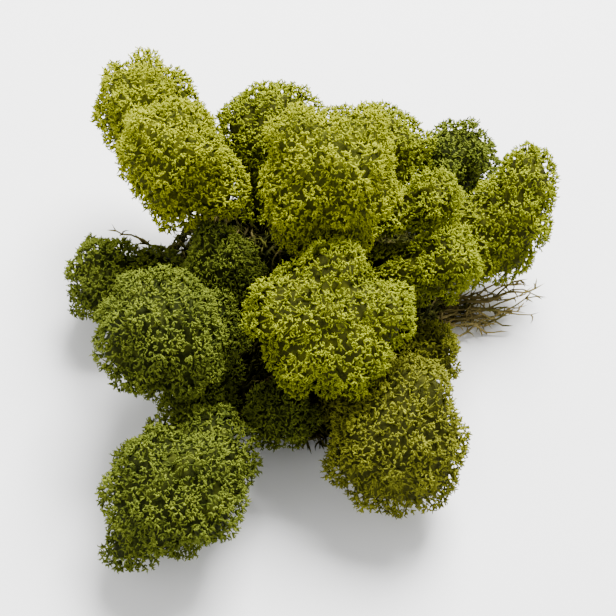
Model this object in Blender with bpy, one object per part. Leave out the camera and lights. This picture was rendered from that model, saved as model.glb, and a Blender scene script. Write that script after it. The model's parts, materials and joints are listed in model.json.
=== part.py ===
"""Reindeer moss clump: domed heads of forked branchlets on a base of interlaced old stems.

Metres, +Z up. The origin is the middle of the flat spot that the clump rests on. Every head is a dense,
lumpy mass with forked branchlet tips standing out of it, all joined in one closed solid. Where two heads
press against each other they meet along a flat wall and keep a small clearance there.
"""

import math
import random
from dataclasses import dataclass
from functools import lru_cache

import bmesh
import bpy
import numpy as np

# Driving dimensions, in millimetres. MM turns them into metres where meshes are made.
MM = 0.001
CLEARANCE = 0.3
FLOOR_CLEARANCE = 0.4
SEED = 20

# A head: its dense mass ends at CORE_SHARE of where its branchlet tips reach. Ranges are low and high limits.
CORE_SHARE = 0.85
BALL_SHARE = 0.86
LOBE_SIZE = (0.40, 0.52)
LOBE_REACH = (0.96, 1.04)
LOBE_SHAKE = 0.25
FACETS_PER_RADIUS = 10.5
CONTACT_SPREAD = 7.0
PRESS_SHARE = 0.8
PRESS_SHARPNESS = 6

# The forked branchlet tips of a head.
FORKS_PER_RADIUS = 2.35
PRONG_COUNTS = (2, 3, 3)
PRONG_ROOT_RADIUS = 0.8
PRONG_ROOT_STEP = 0.3
PRONG_SINK = 2.4
PRONG_SPREAD = 2.1
PRONG_LEAN = (0.7, 1.1)
PRONG_TIP = (0.97, 1.0)
PRONG_OVERREACH = 1.08
PRONG_ROOM = 0.4

# The stem base: a low dome of old stems, and the ball that shares out space between it and the heads.
BASE_MIDDLE = (-6.0, 3.0, 0.0)
BASE_REACH = (31.0, 30.0, 25.0)
BASE_BALL_CENTRE = (-6.0, 3.0, -20.0)
BASE_BALL_RADIUS = 38.0
ARM_SHARE = 1.0
ARM_SHARPNESS = 10
STALK_SHARE = 1.15
STALK_SHARPNESS = 4
RIM_WAVES = ((0.05, 3.0, 1.0), (0.03, 7.0, 0.0))
BASE_RING_POINTS = 40
BASE_RINGS = (0.0, 9.0, 19.0, 30.0, 42.0, 56.0, 72.0)

# Old stems: those that stand out round the rim, and those that lie half sunk in the mat.
STEM_COUNT = 9
STEM_TRIES = 600
STEM_ARC = (0.6, 4.9)
STEM_ROOT_RADIUS = 1.0
STEM_TAPER = 0.12
STEM_SLOPES = (0.08, 1.0)
STEM_SINK = 4.0
STEM_SWAY = 0.5
STEM_LENGTH = (9.0, 17.0)
STEM_SHARES = (0.0, 0.3, 0.55, 0.8, 1.0)
STEM_RISE = 0.45
STEM_RISE_SHARE = (0.4, 1.2)
STEM_HEADROOM = 1.2
STEM_FLOOR_ROOM = 0.5
MAT_STEM_COUNT = 20
MAT_STEM_SLOPES = (0.06, 0.8)
MAT_STEM_STEP = 0.17
MAT_STEM_PROUD = 0.55
MAT_STEM_SUNK = 1.2
MAT_STEM_ROOM = 1.8
MAT_STEM_FLOOR_ROOM = 0.1

# A direction that no other axis here runs along, limits for divisions and rays, and the surfaces' roughness.
SIDE_HINT = (0.31, 0.87, 0.38)
LEAST_FACING = 1e-6
FAR = 1e3
HEAD_ROUGHNESS = 0.85
STEM_ROUGHNESS = 0.9

YELLOW_GREEN = (0.30, 0.33, 0.045)
FRESH_GREEN = (0.20, 0.26, 0.040)
LEAF_GREEN = (0.13, 0.19, 0.035)
DEEP_GREEN = (0.09, 0.14, 0.030)
OLIVE = (0.22, 0.20, 0.040)
OLD_STEM = (0.075, 0.060, 0.030)


@dataclass(frozen=True)
class Lobe:
    """A swelling on a head: a ball at an offset from the head's centre."""

    offset: tuple
    radius: float


@dataclass(frozen=True)
class Head:
    """A domed head: its middle, its reach, its colour, the swellings placed by hand and how many more."""

    name: str
    centre: tuple
    radius: float
    colour: tuple
    lobes: tuple = ()
    small_lobes: int = 7


HEADS = (
    Head(
        "head_crown",
        (-6.0, 8.5, 45.0),
        14.5,
        YELLOW_GREEN,
        (
            Lobe((6.5, 6.0, 3.5), 7.5),
            Lobe((-6.0, 4.5, 5.0), 7.5),
            Lobe((1.0, -3.0, 8.0), 7.0),
            Lobe((-7.5, -6.0, -1.0), 6.5),
            Lobe((7.5, -5.5, -2.0), 6.5),
        ),
        4,
    ),
    Head(
        "head_middle",
        (-9.0, -16.0, 31.0),
        14.5,
        FRESH_GREEN,
        (
            Lobe((-9.5, 1.0, 3.0), 8.0),
            Lobe((2.5, 8.5, 9.0), 6.4),
            Lobe((11.0, -0.5, 3.0), 7.4),
            Lobe((2.5, -7.5, -0.5), 8.6),
            Lobe((-6.5, -7.0, -2.0), 7.0),
        ),
        2,
    ),
    Head(
        "head_front_right",
        (4.0, -34.5, 16.5),
        15.5,
        OLIVE,
        (
            Lobe((3.5, 5.5, 8.5), 8.0),
            Lobe((-9.0, -3.5, -3.0), 7.0),
            Lobe((-2.5, -8.0, -5.5), 7.0),
            Lobe((8.5, -3.0, -1.0), 7.0),
            Lobe((6.0, -7.5, -6.0), 6.5),
        ),
        2,
    ),
    Head("head_left", (-40.0, -13.5, 27.0), 14.5, DEEP_GREEN),
    Head(
        "head_front_left",
        (-41.0, -41.0, 16.0),
        15.0,
        DEEP_GREEN,
        (Lobe((-9.0, -7.5, -8.0), 6.0), Lobe((8.0, 3.0, 0.0), 8.0)),
        5,
    ),
    Head("head_right_upper", (17.5, 9.0, 33.0), 8.0, FRESH_GREEN, (), 4),
    Head("head_right_lower", (19.5, -1.0, 26.0), 9.5, FRESH_GREEN, (), 4),
    Head(
        "head_far_right",
        (39.0, 13.0, 20.0),
        11.5,
        LEAF_GREEN,
        (Lobe((3.0, 5.0, 8.0), 7.5), Lobe((-1.0, -5.0, -7.0), 7.5)),
        3,
    ),
    Head("head_back_left", (-35.0, 19.0, 40.0), 12.5, YELLOW_GREEN),
    Head("head_back_corner", (-37.0, 37.0, 31.5), 12.5, YELLOW_GREEN, (), 6),
    Head("head_back_middle", (-10.0, 34.0, 23.0), 14.0, LEAF_GREEN),
    Head("head_back_right", (15.0, 32.0, 18.0), 12.5, LEAF_GREEN),
    Head("head_right_back", (33.5, 33.0, 12.5), 11.0, DEEP_GREEN, (), 5),
    Head("head_left_low", (-47.0, 8.0, 12.5), 11.0, DEEP_GREEN, (), 5),
    Head("head_inner_left", (-25.0, 3.5, 21.5), 9.5, DEEP_GREEN, (), 4),
    Head("head_inner_low", (-33.0, -21.0, 11.0), 8.5, DEEP_GREEN, (), 4),
    Head("head_inner_front", (-16.5, -25.0, 11.0), 9.0, DEEP_GREEN, (), 4),
    Head("head_inner_right", (17.0, -13.0, 10.0), 8.5, OLIVE, (), 4),
)

# Heads that press on each other in pairs.
PRESSED = (
    ("head_front_left", "head_inner_low"),
    ("head_back_left", "head_inner_left"),
)


@dataclass(frozen=True)
class Wall:
    """A flat limit: a point on it and the unit normal that points out of what it limits."""

    point: np.ndarray
    normal: np.ndarray


def clear_scene():
    """Removes every object that the scene starts with."""
    for thing in list(bpy.data.objects):
        bpy.data.objects.remove(thing, do_unlink=True)


def even_directions(count, turn=0.0):
    """Unit directions spread evenly over a ball, on a golden-angle spiral."""
    steps = np.arange(count) + 0.5
    height = 1.0 - 2.0 * steps / count
    around = steps * math.pi * (3.0 - math.sqrt(5.0)) + turn
    level = np.sqrt(1.0 - height**2)
    return np.stack([level * np.cos(around), level * np.sin(around), height], axis=1)


def dome_directions(ring_points, rises):
    """Unit directions in level rings at these rises in degrees, with the two poles."""
    directions = [(0.0, 0.0, 1.0), (0.0, 0.0, -1.0)]
    for ring, rise in enumerate(rises):
        level, height = math.cos(math.radians(rise)), math.sin(math.radians(rise))
        count = max(6, round(ring_points * level))
        for step in range(count):
            around = 2.0 * math.pi * (step + 0.5 * (ring % 2)) / count
            directions.append((level * math.cos(around), level * math.sin(around), height))
    return np.array(directions)


def aimed_directions(aim, spread, ring_points=6):
    """A direction and a ring of others round it, this many degrees away."""
    aim = unit(aim)
    side = unit(np.cross(aim, SIDE_HINT))
    up = np.cross(aim, side)
    near, far = math.cos(math.radians(spread)), math.sin(math.radians(spread))
    ring = [aim]
    for step in range(ring_points):
        turn = 2.0 * math.pi * step / ring_points
        ring.append(near * aim + far * (math.cos(turn) * side + math.sin(turn) * up))
    return np.array(ring)


def spaced(directions, added, least):
    """The directions that stay this many degrees away from the added ones, with the added ones."""
    near = (directions @ added.T).max(axis=1) > math.cos(math.radians(least))
    return np.concatenate([directions[~near], added])


def unit(vector):
    """The vector at length 1."""
    vector = np.asarray(vector, float)
    return vector / np.linalg.norm(vector)


def ball_exit(directions, offset, radius):
    """How far each direction runs from the centre to its way out of a ball, or 0 where it misses the ball."""
    offset = np.asarray(offset, float)
    along = directions @ offset
    depth = along**2 - offset @ offset + radius**2
    return np.where(depth > 0.0, along + np.sqrt(np.maximum(depth, 0.0)), 0.0)


@lru_cache(maxsize=None)
def seeded_lobes(head):
    """Small swellings spread over the head, for its uneven, cauliflower-like surface."""
    draw = random.Random(f"{SEED} {head.name}")
    lobes = []
    for direction in even_directions(head.small_lobes * 2, draw.uniform(0.0, 6.0)):
        size = head.radius * draw.uniform(*LOBE_SIZE)
        rise = head.radius * draw.uniform(*LOBE_REACH) - size
        shaken = unit(direction + [draw.uniform(-LOBE_SHAKE, LOBE_SHAKE) for _ in range(3)])
        lobes.append(Lobe(tuple(shaken * rise), size))
    return tuple(lobes)


def pressed_on(head):
    """The heads that this one presses on."""
    names = {name for pair in PRESSED if head.name in pair for name in pair}
    return [other for other in HEADS if other.name in names and other is not head]


def reach_towards(head, point, directions, share, sharpness):
    """A swelling that narrows from the head towards a point, as long as this share of the way there."""
    way = np.array(point) - np.array(head.centre)
    length = np.linalg.norm(way)
    facing = np.maximum(directions @ (way / length), 0.0)
    return share * length * facing**sharpness


def stalk_reach(head, directions):
    """The bundle of stems that narrows from the head down to the middle of the base."""
    return reach_towards(head, BASE_MIDDLE, directions, STALK_SHARE, STALK_SHARPNESS)


def outline(head, directions):
    """How far the head's branchlet tips reach from its centre along each direction, with no neighbours."""
    reach = np.full(len(directions), head.radius * BALL_SHARE)
    for lobe in head.lobes + seeded_lobes(head):
        reach = np.maximum(reach, ball_exit(directions, lobe.offset, lobe.radius))
    for other in pressed_on(head):
        press = reach_towards(head, other.centre, directions, PRESS_SHARE, PRESS_SHARPNESS)
        reach = np.maximum(reach, press)
    return np.maximum(reach, stalk_reach(head, directions))


def wall_between(centre, radius, other_centre, other_radius):
    """The flat wall between two balls, half the clearance on this side of where their powers are equal."""
    centre = np.asarray(centre, float)
    across = np.asarray(other_centre, float) - centre
    gap = np.linalg.norm(across)
    share = (gap**2 + radius**2 - other_radius**2) / (2.0 * gap)
    normal = across / gap
    return Wall(centre + normal * (share - CLEARANCE / 2.0), normal)


def floor_wall(height):
    """The level wall at this height that holds what is above it."""
    return Wall(np.array([0.0, 0.0, height]), np.array([0.0, 0.0, -1.0]))


def head_walls(head):
    """The walls that keep a head off its neighbours, the base and the floor."""
    walls = [
        wall_between(head.centre, head.radius, other.centre, other.radius)
        for other in HEADS
        if other is not head
    ]
    walls.append(wall_between(head.centre, head.radius, BASE_BALL_CENTRE, BASE_BALL_RADIUS))
    walls.append(floor_wall(FLOOR_CLEARANCE))
    return walls


def base_walls():
    """The walls that keep the base off the heads, and the floor that it stands on."""
    walls = [
        wall_between(BASE_BALL_CENTRE, BASE_BALL_RADIUS, head.centre, head.radius) for head in HEADS
    ]
    walls.append(floor_wall(0.0))
    return walls


def wall_reach(start, directions, walls):
    """How far each direction runs from the start to the nearest wall."""
    reach = np.full(len(directions), FAR)
    for wall in walls:
        facing = directions @ wall.normal
        room = (wall.point - start) @ wall.normal
        distance = room / np.maximum(facing, LEAST_FACING)
        reach = np.where(facing > LEAST_FACING, np.minimum(reach, distance), reach)
    return reach


def mesh_object(name, points, faces):
    """An object with this mesh, whose points are given in millimetres."""
    mesh = bpy.data.meshes.new(name)
    mesh.from_pydata([tuple(float(v) * MM for v in point) for point in points], [], faces)
    mesh.update()
    return bpy.data.objects.new(name, mesh)


def dressed(body, colour, roughness):
    """The body with its own plain material."""
    material = bpy.data.materials.new(body.name)
    material.use_nodes = True
    shader = material.node_tree.nodes["Principled BSDF"]
    shader.inputs["Base Color"].default_value = (*colour, 1.0)
    shader.inputs["Roughness"].default_value = roughness
    shader.inputs["Metallic"].default_value = 0.0
    body.data.materials.clear()
    body.data.materials.append(material)
    return body


def ball_faces(directions):
    """Triangles that join directions spread over a ball, which face outwards."""
    shell = bmesh.new()
    corners = [shell.verts.new(direction) for direction in directions]
    for index, corner in enumerate(corners):
        corner.index = index
    bmesh.ops.convex_hull(shell, input=corners)
    bmesh.ops.triangulate(shell, faces=shell.faces[:])
    bmesh.ops.recalc_face_normals(shell, faces=shell.faces[:])
    shell.verts.ensure_lookup_table()
    faces = [[corner.index for corner in face.verts] for face in shell.faces]
    shell.free()
    return faces


def spike_mesh(path, widths, sides=3):
    """Points and faces of a closed tapering tube along a path, which ends in a point."""
    path = [np.asarray(point, float) for point in path]
    points, faces = [], []
    side = unit(np.cross(path[1] - path[0], SIDE_HINT))
    for index, point in enumerate(path[:-1]):
        ahead = unit(path[index + 1] - path[max(index - 1, 0)])
        side = unit(side - ahead * (side @ ahead))
        up = np.cross(ahead, side)
        for corner in range(sides):
            angle = 2.0 * math.pi * corner / sides
            points.append(point + widths[index] * (math.cos(angle) * side + math.sin(angle) * up))
    tip = len(points)
    points.append(path[-1])
    faces.append(list(range(sides))[::-1])
    for ring in range(len(path) - 2):
        for corner in range(sides):
            after = (corner + 1) % sides
            low, high = ring * sides, (ring + 1) * sides
            faces.append([low + corner, low + after, high + after, high + corner])
    last = (len(path) - 2) * sides
    for corner in range(sides):
        faces.append([last + corner, last + (corner + 1) % sides, tip])
    return points, faces


def keep_outer_shell(mesh):
    """Fills the hollows that joining sealed and drops loose scraps: only the largest shell of faces stays."""
    work = bmesh.new()
    work.from_mesh(mesh)
    left = set(work.verts)
    shells = []
    while left:
        shell, edge = set(), [left.pop()]
        while edge:
            corner = edge.pop()
            shell.add(corner)
            fresh = {side.other_vert(corner) for side in corner.link_edges} & left
            left -= fresh
            edge.extend(fresh)
        shells.append(shell)
    shells.sort(key=len)
    scraps = [corner for shell in shells[:-1] for corner in shell]
    bmesh.ops.delete(work, geom=scraps, context="VERTS")
    work.to_mesh(mesh)
    work.free()


def joined(body, repeats):
    """The body with all its repeats joined on by one Boolean union, which is then applied."""
    scene = bpy.context.scene.collection
    scene.objects.link(body)
    group = bpy.data.collections.new(body.name + "_repeats")
    scene.children.link(group)
    for repeat in repeats:
        group.objects.link(repeat)
    union = body.modifiers.new("union", "BOOLEAN")
    union.operation = "UNION"
    union.operand_type = "COLLECTION"
    union.collection = group
    union.solver = "MANIFOLD"
    bpy.context.view_layer.update()
    graph = bpy.context.evaluated_depsgraph_get()
    solid = bpy.data.meshes.new_from_object(body.evaluated_get(graph))
    body.modifiers.clear()
    rough = body.data
    body.data = solid
    bpy.data.meshes.remove(rough)
    for repeat in repeats:
        shape = repeat.data
        bpy.data.objects.remove(repeat, do_unlink=True)
        bpy.data.meshes.remove(shape)
    bpy.data.collections.remove(group)
    solid.name = body.name
    keep_outer_shell(solid)
    return body


def fork_prongs(head, walls, direction, draw):
    """The spikes of one forked branchlet tip, or none where a neighbour leaves it no room."""
    start = np.array(head.centre)
    side = unit(np.cross(direction, [draw.uniform(-1.0, 1.0) for _ in range(3)]))
    up = np.cross(direction, side)
    turn = draw.uniform(0.0, 2.0 * math.pi)
    surface = outline(head, direction[None])[0]
    root = start + direction * (surface * CORE_SHARE - PRONG_SINK)
    prongs = []
    count = draw.choice(PRONG_COUNTS)
    for number in range(count):
        angle = turn + 2.0 * math.pi * number / count
        lean = PRONG_SPREAD * draw.uniform(*PRONG_LEAN) / head.radius
        aim = unit(direction + lean * (math.cos(angle) * side + math.sin(angle) * up))
        whole = min(outline(head, aim[None])[0], surface * PRONG_OVERREACH)
        free = wall_reach(start, aim[None], walls)[0]
        if free > whole + PRONG_ROOM and stalk_reach(head, aim[None])[0] < whole:
            tip = start + aim * whole * draw.uniform(*PRONG_TIP)
            prongs.append((root + PRONG_ROOT_STEP * unit(tip - root), tip))
    return prongs


def build_head(head):
    """One head: its lumpy mass with the forked tips joined on."""
    draw = random.Random(f"{SEED} forks {head.name}")
    walls = head_walls(head)
    start = np.array(head.centre)
    directions = even_directions(round(FACETS_PER_RADIUS * head.radius), draw.uniform(0.0, 6.0))
    for point in [other.centre for other in pressed_on(head)] + [BASE_MIDDLE]:
        contact = aimed_directions(np.array(point) - start, CONTACT_SPREAD)
        directions = spaced(directions, contact, CONTACT_SPREAD)
    reach = np.minimum(outline(head, directions) * CORE_SHARE, wall_reach(start, directions, walls))
    core = mesh_object(head.name, start + directions * reach[:, None], ball_faces(directions))
    prongs = []
    for direction in even_directions(round(FORKS_PER_RADIUS * head.radius), draw.uniform(0.0, 6.0)):
        for root, tip in fork_prongs(head, walls, direction, draw):
            prongs.append(mesh_object("prong", *spike_mesh([root, tip], [PRONG_ROOT_RADIUS])))
    return dressed(joined(core, prongs), head.colour, HEAD_ROUGHNESS)


def clear_of_heads(path, room):
    """Whether a path, read every fifth of each of its segments, keeps this room to the heads' tips."""
    path = np.array(path)
    shares = np.linspace(0.0, 1.0, 6)[:, None]
    points = np.concatenate([start + shares * (end - start) for start, end in zip(path, path[1:])])
    for head in HEADS:
        away = points - np.array(head.centre)
        distance = np.linalg.norm(away, axis=1)
        if (distance < outline(head, away / distance[:, None]) + room).any():
            return False
    return True


def base_outline(directions):
    """How far the base reaches from its middle: a low uneven dome with an arm of stems to each head."""
    around = np.arctan2(directions[:, 1], directions[:, 0])
    rim = 1.0 + sum(depth * np.sin(waves * around + turn) for depth, waves, turn in RIM_WAVES)
    reach = rim / np.sqrt(((directions / np.array(BASE_REACH)) ** 2).sum(axis=1))
    for head in HEADS:
        arm = np.array(head.centre) - np.array(BASE_MIDDLE)
        length = np.linalg.norm(arm)
        facing = np.maximum(directions @ (arm / length), 0.0)
        reach = np.maximum(reach, ARM_SHARE * length * facing**ARM_SHARPNESS)
    return reach


def base_reach(directions):
    """How far the base's surface lies from its middle, inside its walls."""
    middle = np.array(BASE_MIDDLE)
    return np.minimum(base_outline(directions), wall_reach(middle, directions, base_walls()))


def seeded_stems():
    """Curved old stems round the rim of the base, only where the heads leave them room."""
    draw = random.Random(f"{SEED} stems")
    middle = np.array(BASE_MIDDLE)
    stems = []
    for _ in range(STEM_TRIES):
        around = draw.uniform(*STEM_ARC)
        out = unit((math.cos(around), math.sin(around), draw.uniform(*STEM_SLOPES)))
        root = middle + out * (base_reach(out[None])[0] - STEM_SINK)
        sideways = unit(np.cross(out, (0.0, 0.0, 1.0))) * draw.uniform(-STEM_SWAY, STEM_SWAY)
        length = draw.uniform(*STEM_LENGTH)
        path = []
        for share in STEM_SHARES:
            lift = np.array([0.0, 0.0, STEM_RISE * draw.uniform(*STEM_RISE_SHARE)])
            path.append(root + out * share * length + share**2 * length * (sideways + lift))
        above_floor = all(point[2] > STEM_ROOT_RADIUS + STEM_FLOOR_ROOM for point in path)
        if above_floor and clear_of_heads(path[1:], STEM_HEADROOM):
            stems.append(path)
        if len(stems) == STEM_COUNT:
            break
    return stems


def mat_stems():
    """Old stems that lie along the base, half sunk in it, wherever its surface is open."""
    draw = random.Random(f"{SEED} mat")
    walls = base_walls()
    middle = np.array(BASE_MIDDLE)
    stems = []
    for _ in range(STEM_TRIES):
        rise = draw.uniform(*MAT_STEM_SLOPES)
        around = draw.uniform(0.0, 2.0 * math.pi)
        out = unit((math.cos(around), math.sin(around), rise))
        lean = draw.uniform(0.0, 2.0 * math.pi)
        across = unit(np.cross(out, (0.0, 0.0, 1.0)))
        ahead = math.cos(lean) * across + math.sin(lean) * np.cross(out, across)
        path = []
        for step, proud in enumerate((-MAT_STEM_SUNK, MAT_STEM_PROUD, MAT_STEM_PROUD, -MAT_STEM_SUNK)):
            direction = unit(out + (step - 1.5) * MAT_STEM_STEP * ahead)
            surface = base_outline(direction[None])[0]
            if wall_reach(middle, direction[None], walls)[0] < surface + MAT_STEM_ROOM:
                break
            path.append(middle + direction * (surface + proud))
        lowest = STEM_ROOT_RADIUS + MAT_STEM_FLOOR_ROOM
        whole = len(path) == 4 and all(point[2] > lowest for point in path)
        if whole and clear_of_heads(path, STEM_HEADROOM):
            stems.append(path)
        if len(stems) == MAT_STEM_COUNT:
            break
    return stems


def trailing_wisps():
    """Brown dead stems that trail out of the base under the far right head, with short side twigs."""
    main = [(20.0, 5.0, 4.2), (31.0, 4.0, 4.4), (40.0, 2.4, 4.0), (47.0, 3.2, 4.4), (53.5, 3.4, 4.0)]
    lower = [(20.0, 2.0, 3.5), (29.0, 0.4, 4.4), (36.0, 0.0, 4.0), (42.0, -1.4, 3.2), (46.5, -3.6, 2.6)]
    twigs = [
        [(38.5, 2.6, 4.1), (42.0, -0.2, 4.8), (44.6, -1.6, 4.4)],
        [(43.0, 2.6, 4.2), (47.0, 5.2, 3.8), (50.5, 6.4, 3.2)],
        [(46.5, 3.2, 4.4), (49.4, 0.8, 4.8), (51.4, -1.0, 4.0)],
        [(34.5, 0.2, 4.1), (37.4, -2.4, 3.4), (39.4, -4.6, 2.4)],
    ]
    return [main, lower] + twigs


def build_base():
    """The interlaced old stems that carry the heads: a dome with a flat foot, its rim stems and its wisps."""
    middle = np.array(BASE_MIDDLE)
    arms = [aimed_directions(np.array(head.centre) - middle, CONTACT_SPREAD) for head in HEADS]
    arms = np.concatenate(arms)
    arms = arms[arms[:, 2] > math.sin(math.radians(CONTACT_SPREAD / 2.0))]
    directions = spaced(dome_directions(BASE_RING_POINTS, BASE_RINGS), arms, CONTACT_SPREAD / 2.0)
    shell = middle + directions * base_reach(directions)[:, None]
    dome = mesh_object("stem_base", shell, ball_faces(directions))
    stems = []
    for path in seeded_stems() + mat_stems() + trailing_wisps():
        widths = [STEM_ROOT_RADIUS * (1.0 - STEM_TAPER * ring) for ring in range(len(path) - 1)]
        stems.append(mesh_object("stem", *spike_mesh(path, widths)))
    return dressed(joined(dome, stems), OLD_STEM, STEM_ROUGHNESS)


def main():
    """Clears the scene and builds the base and every head."""
    clear_scene()
    build_base()
    for head in HEADS:
        build_head(head)


main()
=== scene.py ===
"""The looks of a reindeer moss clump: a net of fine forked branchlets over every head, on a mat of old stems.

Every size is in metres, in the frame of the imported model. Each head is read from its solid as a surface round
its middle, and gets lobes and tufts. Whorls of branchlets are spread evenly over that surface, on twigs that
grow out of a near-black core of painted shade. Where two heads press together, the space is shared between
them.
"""

import json
import logging
import math
from collections.abc import Sequence
from dataclasses import dataclass, field
from enum import Enum

import bmesh
import bpy
import numpy as np
from mathutils import Matrix, Vector
from mathutils.bvhtree import BVHTree


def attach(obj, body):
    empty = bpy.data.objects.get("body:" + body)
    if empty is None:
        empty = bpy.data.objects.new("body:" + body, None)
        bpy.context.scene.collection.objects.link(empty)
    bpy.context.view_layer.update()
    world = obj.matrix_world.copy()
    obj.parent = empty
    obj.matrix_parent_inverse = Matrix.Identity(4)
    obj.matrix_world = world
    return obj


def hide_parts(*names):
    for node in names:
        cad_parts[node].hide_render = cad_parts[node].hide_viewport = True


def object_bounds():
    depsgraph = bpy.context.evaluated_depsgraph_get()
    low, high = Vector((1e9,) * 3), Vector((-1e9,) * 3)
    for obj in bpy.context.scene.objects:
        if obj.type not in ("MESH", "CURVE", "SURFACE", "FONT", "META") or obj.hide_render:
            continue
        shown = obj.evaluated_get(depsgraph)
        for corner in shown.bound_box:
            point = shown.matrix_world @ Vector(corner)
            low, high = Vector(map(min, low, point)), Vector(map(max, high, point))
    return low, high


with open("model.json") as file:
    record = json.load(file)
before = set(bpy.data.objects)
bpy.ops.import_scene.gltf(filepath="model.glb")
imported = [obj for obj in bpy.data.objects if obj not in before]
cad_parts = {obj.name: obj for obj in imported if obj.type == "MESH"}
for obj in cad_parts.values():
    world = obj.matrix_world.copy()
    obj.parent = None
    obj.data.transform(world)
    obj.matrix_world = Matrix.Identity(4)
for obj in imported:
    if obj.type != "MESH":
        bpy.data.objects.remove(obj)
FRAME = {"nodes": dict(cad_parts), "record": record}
CAD_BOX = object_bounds()

MM = 0.001
TURN = 2.0 * math.pi
GOLDEN_ANGLE = math.pi * (3.0 - math.sqrt(5.0))
BODY = "root"
BASE_NODE = "stem_base"
SEED = 7
TINY = 1e-6

Colour = tuple[float, float, float]
Place = tuple[float, float, float]
Span = tuple[float, float]
Profile = np.ndarray | Sequence[float]
Socket = bpy.types.NodeSocket
Value = Socket | float

LOG = logging.getLogger("reindeer_moss")


class Slot(Enum):
    """The material slots of the record that the clump is painted from."""

    YELLOW = "moss_yellow"
    GREEN = "moss_green"
    DEEP = "moss_deep"
    OLIVE = "moss_olive"
    STEMS = "old_stems"


class Attribute(Enum):
    """The values that every vertex carries for the materials, each from 0 to 1."""

    ALONG = "strand_along"
    TONE = "strand_tone"


def unit(vectors: np.ndarray) -> np.ndarray:
    """Returns the vectors at length 1."""
    return vectors / np.maximum(np.linalg.norm(vectors, axis=-1, keepdims=True), 1e-12)


def even_directions(count: int) -> np.ndarray:
    """Spreads unit directions evenly over a ball.

    Args:
        count: How many directions.

    Returns:
        The directions, one a row.
    """
    steps = np.arange(count) + 0.5
    height = 1.0 - 2.0 * steps / count
    level = np.sqrt(1.0 - height**2)
    around = steps * GOLDEN_ANGLE
    return np.stack([level * np.cos(around), level * np.sin(around), height], axis=1)


def random_directions(count: int, draw: np.random.Generator) -> np.ndarray:
    """Returns unit directions drawn evenly over a ball."""
    return unit(draw.normal(size=(count, 3)))


def tangents_to(normals: np.ndarray, hints: np.ndarray) -> np.ndarray:
    """Returns unit vectors at right angles to the normals, turned towards the hints."""
    return unit(hints - normals * (hints * normals).sum(axis=-1, keepdims=True))


def thinned(points: np.ndarray, spacing: float) -> np.ndarray:
    """Picks points in their order, and leaves out each that lies too near to one already picked.

    Args:
        points: The candidates, one a row.
        spacing: The least distance between two picked points.

    Returns:
        The numbers of the picked points.
    """
    cells: dict[tuple[int, int, int], list[tuple[float, float, float]]] = {}
    reach = (-1, 0, 1)
    least = spacing * spacing
    picked = []
    keys = np.floor(points / spacing).astype(int).tolist()
    for number, ((i, j, k), (x, y, z)) in enumerate(zip(keys, points.tolist())):
        free = True
        for cell in ((i + a, j + b, k + c) for a in reach for b in reach for c in reach):
            for other in cells.get(cell, ()):
                if (other[0] - x) ** 2 + (other[1] - y) ** 2 + (other[2] - z) ** 2 < least:
                    free = False
                    break
            if not free:
                break
        if free:
            cells.setdefault((i, j, k), []).append((x, y, z))
            picked.append(number)
    return np.array(picked, int)


def nearest(points: np.ndarray, others: np.ndarray) -> np.ndarray:
    """Returns the number of the other point that lies nearest to each point."""
    squares = (points**2).sum(axis=1)[:, None] + (others**2).sum(axis=1)[None]
    return np.argmin(squares - 2.0 * points @ others.T, axis=1)


def faceted_ball(splits: int) -> tuple[np.ndarray, np.ndarray]:
    """Makes a ball of even triangles.

    Args:
        splits: How often its faces are split.

    Returns:
        The directions of its corners, and the corners of its faces.
    """
    ball = bmesh.new()
    bmesh.ops.create_icosphere(ball, subdivisions=splits, radius=1.0)
    ways = unit(np.array([corner.co for corner in ball.verts]))
    faces = np.array([[corner.index for corner in face.verts] for face in ball.faces])
    ball.free()
    return ways, faces


def placed(name: str, data: bpy.types.ID) -> bpy.types.Object:
    """Makes an object and links it to the scene.

    Args:
        name: The object's name.
        data: What it holds.

    Returns:
        The object.
    """
    body = bpy.data.objects.new(name, data)
    bpy.context.scene.collection.objects.link(body)
    return body


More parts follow.
